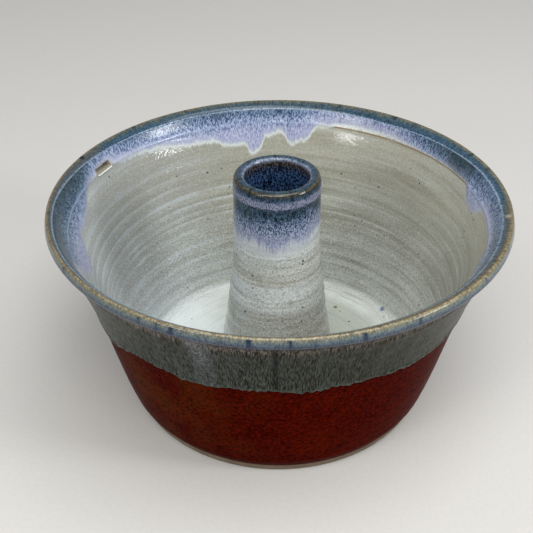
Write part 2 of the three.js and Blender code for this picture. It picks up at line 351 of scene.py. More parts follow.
# What the potter's hands left: throwing rings, and a rim that isn't quite round or level
RING_PITCH = 6.4
RING_DEPTH = [
    (0, 0.03), (S_NECK, 0.03), (S_RIDGE, 0), (S_CREASE, 0), (S_CREASE + 12, 0.05), (S_CREASE + 45, 0.12),
    (S_FLOOR - 20, 0.16), (S_FLOOR, 0.1), (S_TUBE, 0.08), (S_TUBE + 15, 0.1), (S_TUBE_NECK - 15, 0.07),
    (S_TUBE_NECK, 0), (S_END, 0.04),
]
TRIM_DEPTH = 0.12
TRIM_PITCH = 5.2
CREASE_BEAD = 0.28
CREASE_BEAD_HALF = 0.9
FLARE_ROLL = 0.16
FLARE_ROLL_HALF = 1.1
FLARE_ROLL_DROP = 3.4
TUBE_SCORE = 0.16
TUBE_SCORE_HALF = 0.9
TUBE_SCORE_Z = 70.5
OUT_OF_ROUND = 0.3
OUT_OF_LEVEL = 0.3
LEVEL_ANGLE = -110
OFF_CENTRE = 0.4
MOUTH_SHIFT = 1.8
MOUTH_SHIFT_ANGLE = -128
MOUTH_SHIFT_SHARE = [(S_LIP, 0), (S_RIDGE, 1), (S_CREASE, 0.5), (S_CREASE + 40, 0)]
TUBE_SHIFT = 1.1
TUBE_SHIFT_ANGLE = 125
TUBE_SHIFT_SHARE = [(S_FLOOR, 0), (S_TUBE, 0.8), (S_BORE, 1), (S_END, 0)]

S_SCORE = tube_at(TUBE_SCORE_Z)


def turn_angles(turns):
    return np.arange(turns) * (2 * np.pi / turns)


def rings(s, angle):
    """Throwing rings: a slow spiral, from about -1.5 in its grooves to 1.5 on its ridges."""
    phase = s / RING_PITCH + 0.4 * np.sin(s / 9.0) + 0.25 * np.sin(s / 4.1 + 1) - angle / (2 * np.pi)
    return np.sin(2 * np.pi * phase) + 0.5 * np.sin(4.3 * np.pi * s / RING_PITCH + 2 * np.sin(angle))


def hump(away, half):
    """1 at a place, falling off on both sides of it."""
    return np.exp(-((away / half) ** 2))


def relief(s, angle):
    """Height of the clay's own unevenness above the meridian."""
    bead = CREASE_BEAD * hump(s - S_CREASE, CREASE_BEAD_HALF)
    roll = FLARE_ROLL * hump(s - S_RIDGE - FLARE_ROLL_DROP, FLARE_ROLL_HALF)
    score = TUBE_SCORE * hump(s - S_SCORE, TUBE_SCORE_HALF)
    return np.interp(s, *zip(*RING_DEPTH)) * rings(s, angle) + bead + roll - score


def shifted(angle, s, size, towards, shares):
    """How much further out a part of the pan that sits off centre stands at each angle."""
    return size * np.interp(s, *zip(*shares)) * np.cos(angle - math.radians(towards))


def thrown(r, z, angle, s):
    """The pan out of round, level and centre, the more the higher up, and its mouth and tube apart."""
    share = z / TUBE_Z * r / NECK_R
    wide = r - share * OUT_OF_ROUND * np.cos(2 * angle) + share * OFF_CENTRE * np.cos(angle)
    mouth = shifted(angle, s, MOUTH_SHIFT, MOUTH_SHIFT_ANGLE, MOUTH_SHIFT_SHARE)
    tube = shifted(angle, s, TUBE_SHIFT, TUBE_SHIFT_ANGLE, TUBE_SHIFT_SHARE)
    level = OUT_OF_LEVEL * np.cos(angle - math.radians(LEVEL_ANGLE))
    return wide + mouth + tube, z + share * level


def ripple(seed, fewest, most, size, fall=0.8):
    """Seamless waviness round the pan, from seeded cosines with that many waves a turn."""
    waves = np.arange(fewest, most + 1)
    strength = waves ** -fall
    phase = np.random.default_rng(seed).uniform(0, 2 * np.pi, len(waves))
    total = np.cos(np.outer(turn_angles(TURNS), waves) + phase) @ strength
    return size * total / np.sqrt((strength ** 2).sum() / 2)


def run_length(runs, blunt=3):
    """How far the glaze has run, for each turn: every run is a smooth tongue, the blunter the squarer."""
    total = np.zeros(TURNS)
    for middle, half, length in runs:
        away = (np.degrees(turn_angles(TURNS)) - middle + 180) % 360 - 180
        total += length * np.exp(-np.abs(away / half) ** blunt)
    return total


def dashes(marks, half):
    """Strength of the dark dashes for each turn."""
    return run_length([(angle, half, strength) for angle, strength in marks], 2)


# Meshes

def ring_mesh(name, r, z, station, fields):
    """A closed skin: first axis round the pan, second axis round its section.

    The fields, one value a point, are kept for the materials.
    """
    turns, rows = r.shape
    angle = turn_angles(turns)[:, None]
    r, z = thrown(r, z, angle, station)
    points = np.stack([r * np.cos(angle), r * np.sin(angle), z], axis=-1) * MM
    turn = np.repeat(np.arange(turns), rows)
    row = np.tile(np.arange(rows), turns)
    corner_turn = np.stack([turn, turn + 1, turn + 1, turn], axis=-1)
    corner_row = np.stack([row, row, row + 1, row + 1], axis=-1)
    faces = (corner_turn % turns) * rows + corner_row % rows
    mesh = bpy.data.meshes.new(name)
    mesh.from_pydata(points.reshape(-1, 3), [], faces)
    around = np.broadcast_to(angle, r.shape)
    add_field(mesh, "flow", np.stack([np.cos(around), np.sin(around), station], axis=-1), faces)
    for field, values in fields.items():
        add_field(mesh, field, np.broadcast_to(values, r.shape), faces)
    girth = np.hypot(np.diff(r[0], append=r[0, 0]), np.diff(z[0], append=z[0, 0]))
    climb_share = np.concatenate([[0], np.cumsum(girth)]) / girth.sum()
    unwrapped = mesh.uv_layers.new(name="OFBake")
    uv = np.stack([corner_turn / turns, climb_share[corner_row]], axis=-1)
    unwrapped.data.foreach_set("uv", uv.ravel().astype(np.float32))
    mesh.validate()
    return mesh


def add_field(mesh, name, values, faces):
    """Values at the points, kept at the corners of the faces."""
    kind, part, size = ("FLOAT_VECTOR", "vector", 3) if values.ndim == 3 else ("FLOAT", "value", 1)
    made = mesh.attributes.new(name, kind, "CORNER")
    at_corners = values.reshape(-1, size)[np.ravel(faces)]
    made.data.foreach_set(part, at_corners.astype(np.float32).ravel())


def clay_mesh(name, stations, joint):
    """A thrown piece: a stretch of the meridian, closed by joint faces that other pieces hide."""
    angle = turn_angles(CLAY_TURNS)[:, None]
    s = np.tile(stations, (CLAY_TURNS, 1))
    r, z = pan.place(s, relief(s, angle))
    joint_r, joint_z = (np.tile(values, (CLAY_TURNS, 1)) for values in np.transpose(joint))
    station = np.hstack([s, np.full_like(joint_r, stations[-1])])
    return ring_mesh(name, np.hstack([r, joint_r]), np.hstack([z, joint_z]), station, {})


def coat_mesh(name, s, ground, depth, edge, **tints):
    """A glaze coat: its air face over the stations s, and a coarser back that is sunk into the ground.

    edge is the distance from the rim of the coat, and the tints are other values for each turn.
    """
    angle = turn_angles(len(s))[:, None]
    back = np.r_[s.shape[1] - 1:0:-BACK_STEP, 0]
    air_r, air_z = pan.place(s, relief(s, angle) + ground + depth)
    back_s = s[:, back]
    back_r, back_z = pan.place(back_s, relief(back_s, angle) + ground[:, back] - SINK)
    station = np.hstack([s, back_s])
    fields = {"edge": np.hstack([edge, edge[:, back]]), "pool": -rings(station, angle)}
    fields.update({tint: values[:, None] for tint, values in tints.items()})
    return ring_mesh(name, np.hstack([air_r, back_r]), np.hstack([air_z, back_z]), station, fields)


def glaze_roll(edge, width, bead):
    """Depth of glaze at a distance from its edge: a rounded rim, a little fuller than the rest."""
    t = np.clip(edge / width, 0, 1)
    return COAT * np.sqrt(1 - (1 - t) ** 2) + bead * t * np.exp(-((edge / width - 1) ** 2))


def glaze_melt(edge, width):
    """Depth of glaze that has melted into the coat under it at its edge."""
    t = np.clip(edge / width, 0, 1)
    return COAT * t * t * (3 - 2 * t)


def spread(edge, inner):
    """Rows between a coat's wavy edge and a fixed station, closer together at the edge."""
    share = np.linspace(0, 1, EDGE_ROWS, endpoint=False) ** EDGE_CROWD
    return edge[:, None] + (inner - edge)[:, None] * share


def every_turn(stations, turns=TURNS):
    return np.tile(stations, (turns, 1))


# Clay pieces

def clay_floor():
    foot = pan.rows(0, outside_at(FLOOR_T))
    bore_r = tube_inside(FLOOR_T)
    joint = [(bore_r, FLOOR_T), (bore_r, 0)]
    ring_r = np.linspace(bore_r, FOOT_R - FOOT_BEVEL, TRIM_ROWS + 2)[1:-1]
    fade = np.sin(np.linspace(0, np.pi, TRIM_ROWS)) ** 0.5
    trimming = TRIM_DEPTH * (1 + np.sin(ring_r * 2 * np.pi / TRIM_PITCH)) * fade
    return clay_mesh("clay_floor", foot, joint + list(zip(ring_r, trimming)))


def clay_wall():
    stations = pan.rows(outside_at(FLOOR_T), inside_at(FLOOR_T + WALL_COIL))
    return clay_mesh("clay_wall", stations, [floor_corner])


def clay_tube():
    stations = pan.rows(tube_at(FLOOR_T + TUBE_COIL), bore_at(FLOOR_T))
    return clay_mesh("clay_tube", stations, [tube_corner])


def clay_wall_coil():
    return clay_mesh("clay_wall_coil", pan.rows(inside_at(FLOOR_T + WALL_COIL), S_FLOOR), [floor_corner])


def clay_tube_coil():
    return clay_mesh("clay_tube_coil", pan.rows(S_TUBE, tube_at(FLOOR_T + TUBE_COIL)), [tube_corner])


# Glaze coats

def glaze_red():
    foot = outside_at(FOOT_H) + ripple(seed=11, fewest=3, most=40, size=0.18)
    top = outside_at(NECK_Z - RED_DROP)
    inner = outside_at(FOOT_H + RED_EDGE)
    s = np.hstack([spread(foot, inner), every_turn(pan.rows(inner, top))])
    edge = s - foot[:, None]
    return coat_mesh("glaze_red", s, np.zeros_like(s), glaze_roll(edge, width=1.0, bead=0.12), edge)


def glaze_cream():
    stop = tube_at(tube_swell[1] - TUBE_LAP)
    s = every_turn(pan.rows(S_RIDGE, stop), CREAM_TURNS)
    edge = np.minimum(s - S_RIDGE, stop - s)
    return coat_mesh("glaze_cream", s, np.zeros_like(s), glaze_roll(edge, width=1.0, bead=0), edge)


def under_blue(s):
    """Height of the red and cream coats, which the blue coat goes over."""
    red = np.clip(outside_at(NECK_Z - RED_DROP) + 1 - s, 0, 1)
    cream = np.clip(s - S_RIDGE, 0, 1) * np.clip(tube_at(tube_swell[1] - TUBE_LAP) + 1 - s, 0, 1)
    return COAT * (red + cream)


def glaze_blue_band():
    wavy = ripple(seed=3, fewest=24, most=220, size=0.36, fall=0.2)
    first = outside_at(BAND_Z - run_length(BAND_RUNS) + wavy)
    low = outside_at(BAND_Z + BAND_EDGE)
    s = np.hstack([spread(first, low), every_turn(pan.rows(low, S_NECK))])
    edge = s - first[:, None]
    return coat_mesh("glaze_blue_band", s, under_blue(s), glaze_roll(edge, width=1.1, bead=0.3), edge)


def glaze_blue_rim():
    wavy = ripple(seed=5, fewest=14, most=90, size=0.14, fall=0.6)
    last = inside_at(crease_z - CREASE_LAP - run_length(CREASE_RUNS, CREASE_BLUNT) + wavy)
    high = S_CREASE - CREASE_EDGE
    s = np.hstack([every_turn(pan.rows(S_NECK, high)[:-1]), spread(last, high)[:, ::-1]])
    edge = last[:, None] - s
    tone = run_length(LAVENDER_RISES) + run_length([TEAL_LAP], TEAL_BLUNT)
    return coat_mesh("glaze_blue_rim", s, under_blue(s), glaze_melt(edge, width=5.0), edge, tone=tone,
                     face_dash=dashes(FACE_DASHES, DASH_HALF), top_dash=dashes(TOP_DASHES, DASH_HALF))


def glaze_blue_tube():
    first = tube_at(TUBE_BAND_Z - run_length(TUBE_RUNS) + ripple(seed=8, fewest=5, most=40, size=0.35))
    low = tube_at(TUBE_BAND_Z + TUBE_EDGE)
    stop = bore_at(BORE_BAND_Z) + ripple(seed=9, fewest=3, most=30, size=0.5)
    high = stop.min() - BORE_EDGE
    s = np.hstack([spread(first, low), every_turn(pan.rows(low, high)[:-1]), spread(stop, high)[:, ::-1]])
    edge = np.minimum(s - first[:, None], stop[:, None] - s)
    return coat_mesh("glaze_blue_tube", s, under_blue(s), glaze_melt(edge, width=9.0), edge,
                     tone=run_length(TUBE_LAVENDER_RISES), top_dash=dashes(TUBE_DASHES, TUBE_DASH_HALF))


def slot_outline():
    """Across and up, in order round the mouth of the slot."""
    half = np.array([SLOT_W, SLOT_H]) / 2
    turn = turn_angles(SLOT_STEPS) + np.pi / SLOT_STEPS
    corner = np.column_stack([np.cos(turn), np.sin(turn)])
    across, up = (np.sign(corner) * (half - SLOT_ROUND) + corner * SLOT_ROUND).T
    return across, crease_z - SLOT_DROP + SLOT_H / 2 + up


def glaze_slot_lining():
    """Glaze in the slot: a thin sleeve through the wall, with a roll on the inside that is fattest below."""
    across, up = slot_outline()
    middle_angle = math.radians(SLOT_ANGLE)
    s = pan.station_at(up, S_RIDGE, S_FLOOR)
    r, z = pan.place(s, relief(s, middle_angle) + 2 * COAT - SLOT_ROLL)
    angle = middle_angle - across / r
    r, z = thrown(r, z, angle, s)
    length = wall_outside(up) + COAT - r
    middle = np.column_stack([r * np.cos(angle), r * np.sin(angle), z])
    along = np.roll(middle, -1, 0) - np.roll(middle, 1, 0)
    along /= np.linalg.norm(along, axis=1)[:, None]
    out_r, out_z = (np.interp(s, pan.s, v) for v in (pan.out_r, pan.out_z))
    out = np.column_stack([out_r * np.cos(angle), out_r * np.sin(angle), out_z])
    side = np.cross(along, out)
    through = np.array([math.cos(middle_angle), math.sin(middle_angle), 0])
    turn = turn_angles(LINING_STEPS)[None, :, None]
    far = np.cos(turn) < -0.01
    fat = np.interp(up, [up.min(), up.max()], [SLOT_ROLL, SLOT_LINING_T])[:, None, None]
    half = np.where(far, SLOT_LINING_T, fat)
    points = middle[:, None] + half * (out[:, None] * np.cos(turn) + side[:, None] * np.sin(turn))
    points = points + np.where(far, length[:, None, None], 0) * through
    count, sides = points.shape[:2]
    faces = [[i * sides + j, i * sides + (j + 1) % sides, (i + 1) % count * sides + (j + 1) % sides,
              (i + 1) % count * sides + j] for i in range(count) for j in range(sides)]
    mesh = bpy.data.meshes.new("glaze_slot_lining")
    mesh.from_pydata(points.reshape(-1, 3) * MM, [], faces)
    flow = np.stack([np.cos(angle), np.sin(angle), s], axis=-1)
    add_field(mesh, "flow", np.repeat(flow[:, None], sides, axis=1), faces)
    add_field(mesh, "roll", np.where(far, 0, fat / SLOT_ROLL)[..., 0], faces)
    return mesh


def slot_cutter():
    """A rounded bar that points outwards through the wall."""
    across, up = slot_outline()
    count = len(across)
    ends = (crease[0] - SLOT_REACH, NECK_R + SLOT_REACH)
    points = [(x, out, z) for out in ends for x, z in zip(across, up)]
    faces = [[count + i, count + (i + 1) % count, (i + 1) % count, i] for i in range(count)]
    faces += [list(range(count)), list(range(count, 2 * count))[::-1]]
    mesh = bpy.data.meshes.new("slot_cutter")
    mesh.from_pydata(np.array(points) * MM, [], faces)
    mesh.transform(Matrix.Rotation(math.radians(SLOT_ANGLE - 90), 4, "Z"))
    return mesh


def cut_slot(piece):
    """The hanging slot taken out of a piece, with its own sharp edges."""
    cutter = bpy.data.objects.new("slot_cutter", slot_cutter())
    bpy.context.collection.objects.link(cutter)
    cut = piece.modifiers.new("slot", "BOOLEAN")
    cut.operation = "DIFFERENCE"
    cut.solver = "EXACT"
    cut.object = cutter
    bpy.context.view_layer.update()
    whole = piece.data
    ready = piece.evaluated_get(bpy.context.evaluated_depsgraph_get())
    piece.data = bpy.data.meshes.new_from_object(ready)
    piece.modifiers.clear()
    bpy.data.meshes.remove(whole)
    bpy.data.meshes.remove(cutter.data)


# Materials

# Radii at which the streaks in the blue glaze are as wide as written
BAND_R = 104
LIP_R = 109
FLARE_R = 103
TUBE_R = 20
BORE_R = 16

# How softly the blue melts into the cream, on the flare and on the tube
FLARE_MELT = 0.9
TUBE_MELT = 2.2

# Gloss of the two coats outside, low because the pale floor's reflection would veil their dark colours
RED_SPECULAR = 0.003
BAND_SPECULAR = 0.03

# Roughness of the blue coats on the lip, in the slot and on the tube
BLUE_ROUGH = (0.12, 0.24)

# Places of single marks
OLIVE_SPOT = (33, 44.5, 8)
BLUE_SPOT = (59, 39.8, 10)
LIP_CHIP = (105.2, -18.5, 107.4)


def paint(red, green, blue):
    """A colour as a picture editor gives it, 0 to 255, in Blender's linear light."""
    share = np.array([red, green, blue]) / 255
    linear = np.where(share <= 0.04045, share / 12.92, ((share + 0.055) / 1.055) ** 2.4)
    return (*linear, 1.0)


class Finish:
    """A material, with short ways to add nodes to it."""

    def __init__(self, name):
        self.material = bpy.data.materials.new(name)
        self.material.use_nodes = True
        self.tree = self.material.node_tree
        self.shader = self.tree.nodes["Principled BSDF"]
        self.flow = self.node("Attribute", attribute_name="flow").outputs["Vector"]
        self.station = self.node("SeparateXYZ", {"Vector": self.flow}).outputs["Z"]
        self.position = self.scaled(self.node("TexCoord").outputs["Object"], (1 / MM,) * 3)

    def field(self, name):
        return self.node("Attribute", attribute_name=name).outputs["Fac"]

    def node(self, kind, inputs=None, **settings):
        made = self.tree.nodes.new("ShaderNode" + kind)
        for key, value in settings.items():
            setattr(made, key, value)
        for key, value in (inputs or {}).items():
            self.feed(made.inputs[key], value)
        return made

    def feed(self, socket, value):
        if isinstance(value, bpy.types.NodeSocket):
            self.tree.links.new(value, socket)
        else:
            socket.default_value = value

    def scaled(self, vector, by):
        return self.node("VectorMath", {0: vector, 1: by}, operation="MULTIPLY").outputs["Vector"]

    def noise(self, vector, detail=2.0, rough=0.55, size=1.0):
        inputs = {"Vector": vector, "Scale": 1 / size, "Detail": detail, "Roughness": rough}
        return self.node("TexNoise", inputs).outputs["Fac"]

    def streaks(self, radius, along, across, detail=2.0, rough=0.55):
        """Noise whose grains are so long down the pan and so wide round it, at that radius."""
        vector = self.scaled(self.flow, (radius / across, radius / across, 1 / along))
        return self.noise(vector, detail, rough)

    def specks(self, size, share, radius):
        """1 in dots of up to that radius, in that share of the cells of that size, and 0 elsewhere."""
        cells = self.node("TexVoronoi", {"Vector": self.position, "Scale": 1 / size, "Randomness": 1.0})
        chosen = self.node("SeparateColor", {"Color": cells.outputs["Color"]}).outputs["Red"]
        reach = self.fit(chosen, 1 - share, 1.0, 0.0, radius / size)
        return self.fit(self.math("SUBTRACT", reach, cells.outputs["Distance"]), 0, 0.3 * radius / size)

    def spot(self, place, radius):
        """1 in one dab at a place, and 0 elsewhere."""
        away = self.node("VectorMath", {0: self.position, 1: place}, operation="DISTANCE").outputs["Value"]
        return self.fit(away, radius, 0.5 * radius)

    def side(self, angle):
        """Cosine of the way round from an angle: 1 there, -1 opposite."""
        towards = (math.cos(math.radians(angle)), math.sin(math.radians(angle)), 0)
        return self.node("VectorMath", {0: self.flow, 1: towards}, operation="DOT_PRODUCT").outputs["Value"]

    def math(self, operation, a, b=0.0):
        return self.node("Math", {0: a, 1: b}, operation=operation).outputs["Value"]

    def times(self, a, b):
        return self.math("MULTIPLY", a, b)

    def plus(self, a, b):
        return self.math("ADD", a, b)

    def away_from(self, station):
        """Distance along the meridian from a station."""
        return self.math("ABSOLUTE", self.math("SUBTRACT", self.station, station))

    def swing(self, noise, reach):
        """A noise turned into a shift of up to that much either way."""
        return self.fit(noise, 0.25, 0.75, -reach, reach)

    def fit(self, value, low, high, to_low=0.0, to_high=1.0):
        inputs = {"Value": value, "From Min": low, "From Max": high, "To Min": to_low, "To Max": to_high}
        return self.node("MapRange", inputs, clamp=True).outputs["Result"]

    def along(self, *limits):
        return self.fit(self.station, *limits)

    def around(self, angle, *limits):
        return self.fit(self.side(angle), *limits)

    def mix(self, amount, a, b):
        """Two colours mixed, each a socket or as paint() takes it."""
        made = self.node("Mix", data_type="RGBA")
        for index, value in ((0, amount), (6, a), (7, b)):
            self.feed(made.inputs[index], paint(*value) if isinstance(value, tuple) else value)
        return made.outputs[2]

    def ramp(self, value, stops):
        """Colours at given values, the first lowest."""
        low, high = stops[0][0], stops[-1][0]
        made = self.node("ValToRGB", {"Fac": self.fit(value, low, high)})
        elements = made.color_ramp.elements
        elements.remove(elements[-1])
        elements[0].color = paint(*stops[0][1])
        for at, colour in stops[1:]:
            elements.new((at - low) / (high - low)).color = paint(*colour)
        return made.outputs["Color"]

    def speckled(self, value, grain, stops):
        """Two colours at given values, between which a grain chooses."""
        dark = self.ramp(value, [(at, colour) for at, colour, _ in stops])
        light = self.ramp(value, [(at, colour) for at, _, colour in stops])
        return self.mix(grain, dark, light)

    def done(self, colour, grain, rough, depth, strength, specular=0.5):
        """The material: a grain sets how rough it is, between two values, and stands out that deep."""
        bump = self.node("Bump", {"Height": grain, "Distance": depth * MM, "Strength": strength})
        for key, value in {
            "Base Color": colour,
            "Roughness": self.fit(grain, 0.3, 0.7, *rough),
            "Normal": bump.outputs["Normal"],
            "Specular IOR Level": specular,
        }.items():
            self.feed(self.shader.inputs[key], value)
        return self.material


def bare_clay():
    f = Finish("bare_clay")
    grit = f.noise(f.position, 3, 0.7, size=0.5)
    colour = f.ramp(f.noise(f.position, 4, size=9), [
        (0.32, (104, 88, 71)), (0.5, (116, 100, 81)), (0.68, (130, 114, 95))])
    colour = f.mix(f.specks(3, 0.3, 0.5), colour, (74, 57, 42))
    colour = f.mix(f.fit(grit, 0.35, 0.75, 0.25, 0), colour, (98, 82, 66))
    # Painted shade: the clay darkens over its lowest millimetre, where the foot meets the floor.
    height = f.node("SeparateXYZ", {"Vector": f.position}).outputs["Z"]
    colour = f.mix(f.fit(height, 0.5, 1.2, 0.7, 0), colour, (52, 42, 32))
    return f.done(colour, grit, (0.72, 0.92), 0.15, 0.5)


def red_glaze():
    f = Finish("red_glaze")
    mottle = f.noise(f.position, 4, 0.7, size=1.5)
    cloud = f.noise(f.position, 4, 0.6, size=30)
    colour = f.ramp(cloud, [(0.3, (60, 4, 0)), (0.5, (65, 6, 0)), (0.7, (72, 12, 0))])
    # Browner towards the left: the glaze's own tone, and partly a painted warm sheen.
    brown_and_sheen = f.times(f.around(-148, 0.5, 0.9), f.fit(cloud, 0.4, 0.6))
    colour = f.mix(f.times(brown_and_sheen, 0.7), colour, (76, 38, 10))
    colour = f.mix(f.fit(mottle, 0.5, 0.62, 0, 0.8), colour, (26, 0, 0))
    colour = f.mix(f.fit(mottle, 0.48, 0.36, 0, 0.7), colour, (94, 19, 1))
    colour = f.mix(f.specks(4, 0.3, 0.5), colour, (16, 4, 2))
    colour = f.mix(f.fit(f.field("edge"), 0.2, 1.0, 0.5, 0), colour, (80, 36, 20))
    return f.done(colour, mottle, (0.25, 0.4), 0.1, 0.4, RED_SPECULAR)


def cream_colour(f):
    """Cream that is whiter where it pools: in the rings, on the floor and half way up the tube; with painted
    light and shade round the inside.
    """
    cloud = f.noise(f.position, 3, size=26)
    grain = f.noise(f.scaled(f.position, (1.05, 1.05, 1.45)), 3, 0.6)
    bands = f.noise(f.scaled(f.position, (0.02, 0.02, 0.3)), 3, 0.6)
    colour = f.ramp(f.station, [
        (S_RIDGE, (166, 164, 149)),
        (S_CREASE + 15, (162, 160, 145)),
        (S_CREASE + 50, (153, 153, 141)),
        (S_FLOOR - 30, (174, 177, 170)),
        (S_FLOOR - 13, (188, 192, 187)),
        (S_FLOOR - 4, (214, 219, 214)),
        (S_FLOOR + 3, (226, 231, 226)),
        (S_FLOOR + 14, (212, 217, 209)),
        (S_TUBE, (210, 215, 207)),
        (S_TUBE + 10, (176, 178, 170)),
        (S_SCORE - 24, (168, 169, 160)),
        (S_SCORE - 20, (180, 181, 174)),
        (S_SCORE - 15, (224, 229, 227)),
        (S_SCORE - 4, (212, 217, 215)),
        (S_SCORE - 1, (198, 201, 196)),
        (S_SCORE, (140, 135, 117)),
        (S_SCORE + 1, (188, 189, 181)),
        (S_SCORE + 10, (196, 199, 195)),
        (S_SCORE + 20, (216, 221, 221)),
    ])
    pooled = f.plus(f.field("pool"), f.fit(cloud, 0.3, 0.7, -0.7, 0.7))
    on_left = f.times(f.around(175, 0.1, 0.8, 0, 1.3), f.along(S_FLOOR, S_FLOOR - 10))
    rings_from = f.math("MAXIMUM", f.along(S_CREASE + 8, S_CREASE + 40, 0.45, 1), on_left)
    pooled = f.times(pooled, rings_from)
    # Whiter where the glaze pools, and bluer towards the left as painted light.
    pool_colour = f.mix(f.around(180, -0.4, 0.5), (190, 193, 184), (194, 202, 206))
    colour = f.mix(f.fit(bands, 0.5, 0.7, 0, 0.6), colour, (132, 128, 111))
    colour = f.mix(f.fit(bands, 0.48, 0.3, 0, 0.5), colour, (182, 184, 176))
    colour = f.mix(f.fit(pooled, 0.5, 1.5, 0, 0.7), colour, pool_colour)
    colour = f.mix(f.fit(pooled, -0.4, -1.6, 0, 0.5), colour, (130, 125, 109))
    # Painted light: a bluish cast on the left of the wall.
    on_wall = f.along(S_FLOOR - 5, S_FLOOR - 20)
    colour = f.mix(f.times(on_wall, f.around(190, 0.1, 0.9, 0, 0.5)), colour, (160, 169, 178))
    # Painted shade: the upper wall darker at the back left.
    painted_shade_upper = f.along(S_CREASE + 45, S_CREASE + 20)
    colour = f.mix(f.times(painted_shade_upper, f.around(130, 0.6, 0.95, 0, 0.5)), colour, (136, 135, 124))
    # Painted light: bluish white low on the left, on the wall's foot and the floor.
    low = f.times(f.along(S_FLOOR - 28, S_FLOOR - 8), f.along(S_TUBE + 4, S_TUBE))
    colour = f.mix(f.times(low, f.around(190, 0.3, 0.9, 0, 0.4)), colour, (212, 224, 236))
    # Painted shade on the floor right of the tube, and painted light, nearly white, on the floor at the
    # left.
    on_floor = f.times(f.along(S_FLOOR - 8, S_FLOOR), f.along(S_TUBE + 4, S_TUBE))
    painted_shade_right = f.times(f.around(10, 0, 0.9, 0, 0.8), f.along(S_FLOOR, S_FLOOR + 8))
    colour = f.mix(f.times(on_floor, painted_shade_right), colour, (178, 183, 172))
    colour = f.mix(f.times(on_floor, f.around(190, 0.2, 0.9, 0, 0.85)), colour, (240, 249, 246))
    down_wall = f.along(S_FLOOR - 70, S_FLOOR - 30, 0.4, 0.85)
    strength = f.times(down_wall, f.along(S_FLOOR - 12, S_FLOOR, 1, 0.25))
    strength = f.math("MAXIMUM", strength, f.along(S_TUBE, S_TUBE + 15))
    darker = f.times(strength, f.fit(grain, 0.5, 0.64, 0, 0.6))
    colour = f.mix(darker, colour, (112, 110, 98))
    lighter = f.times(strength, f.fit(grain, 0.46, 0.34, 0, 0.5))
    colour = f.mix(lighter, colour, (222, 226, 222))
    colour = f.mix(f.specks(4, 0.4, 0.7), colour, (70, 62, 50))
    colour = f.mix(f.times(on_wall, f.specks(2.4, 0.25, 0.4)), colour, (92, 84, 68))
    colour = f.mix(f.spot(OLIVE_SPOT, 1.6), colour, (120, 118, 60))
    return f.mix(f.spot(BLUE_SPOT, 2.0), colour, (112, 126, 150))


def cream_glaze():
    f = Finish("cream_glaze")
    dimple = f.noise(f.position, 2, 0.6, size=1.8)
    return f.done(cream_colour(f), dimple, (0.08, 0.2), 0.2, 0.6)


def slot_glaze():
    """Glaze in the slot: thin through the wall, and white on the roll of its lower lip, thick white glaze
    that is partly a painted highlight.
    """
    f = Finish("slot_glaze")
    grain = f.noise(f.position, 3, 0.6, size=0.8)
    colour = f.ramp(grain, [(0.35, (138, 130, 113)), (0.6, (168, 161, 143))])
    # White on the lower lip's roll: thick white glaze, and partly a painted highlight.
    colour = f.mix(f.fit(f.field("roll"), 0.93, 0.99), colour, (226, 229, 230))
    return f.done(colour, grain, BLUE_ROUGH, 0.1, 0.2)


def band_blue_glaze():
    """The blue coat over the red, outside: fine streaks, down to a rolled lower edge."""
    f = Finish("band_blue_glaze")
    fray = f.streaks(BAND_R, 5, 1.2, 3)
    station = f.plus(f.station, f.swing(fray, 2))
    colour = f.speckled(station, f.fit(f.streaks(BAND_R, 3.6, 0.55, 3, 0.6), 0.42, 0.6), [
        (S_NECK - 40, (20, 21, 14), (77, 83, 76)),
        (S_NECK - 9, (20, 20, 13), (74, 79, 71)),
        (S_NECK - 6.8, (25, 23, 17), (92, 88, 80)),
        (S_NECK - 5, (38, 35, 30), (132, 122, 112)),
        (S_NECK - 3.4, (38, 37, 36), (112, 107, 104)),
        (S_NECK - 2, (36, 34, 34), (84, 80, 80)),
        (S_NECK, (47, 45, 48), (78, 74, 78)),
    ])
    broad = f.streaks(BAND_R, 26, 4)
    colour = f.mix(f.fit(broad, 0.55, 0.75, 0, 0.5), colour, (72, 78, 76))
    colour = f.mix(f.fit(broad, 0.45, 0.25, 0, 0.6), colour, (27, 23, 12))
    colour = f.mix(f.around(-50, 0.7, 0.98, 0, 0.3), colour, (44, 40, 24))
    # Painted highlight: a streak of light glints down the band at -108, fading towards its foot.
    painted_glints = f.fit(f.noise(f.position, 3, 0.65, size=0.9), 0.48, 0.6, 0.1, 0.8)
    painted_glints = f.times(painted_glints, f.along(S_NECK - 32, S_NECK - 14, 0.35, 1))
    colour = f.mix(f.times(f.around(-108, 0.998, 0.9999), painted_glints), colour, (130, 133, 141))
    torn = f.fit(fray, 0.35, 0.6, 0.2, 0.9)
    colour = f.mix(f.times(f.around(-90.5, 0.99985, 0.99997), torn), colour, (14, 17, 14))
    ragged = f.plus(f.field("edge"), f.swing(fray, 0.8))
    thick = f.fit(f.streaks(BAND_R, 9, 3.5), 0.35, 0.65, 0.2, 0.9)
    colour = f.mix(f.times(thick, f.fit(ragged, 1.0, 2.6, 1, 0)), colour, (84, 94, 90))
    grain = f.noise(f.position, 3, 0.6, size=1.4)
    return f.done(colour, grain, (0.2, 0.34), 0.1, 0.2, BAND_SPECULAR)


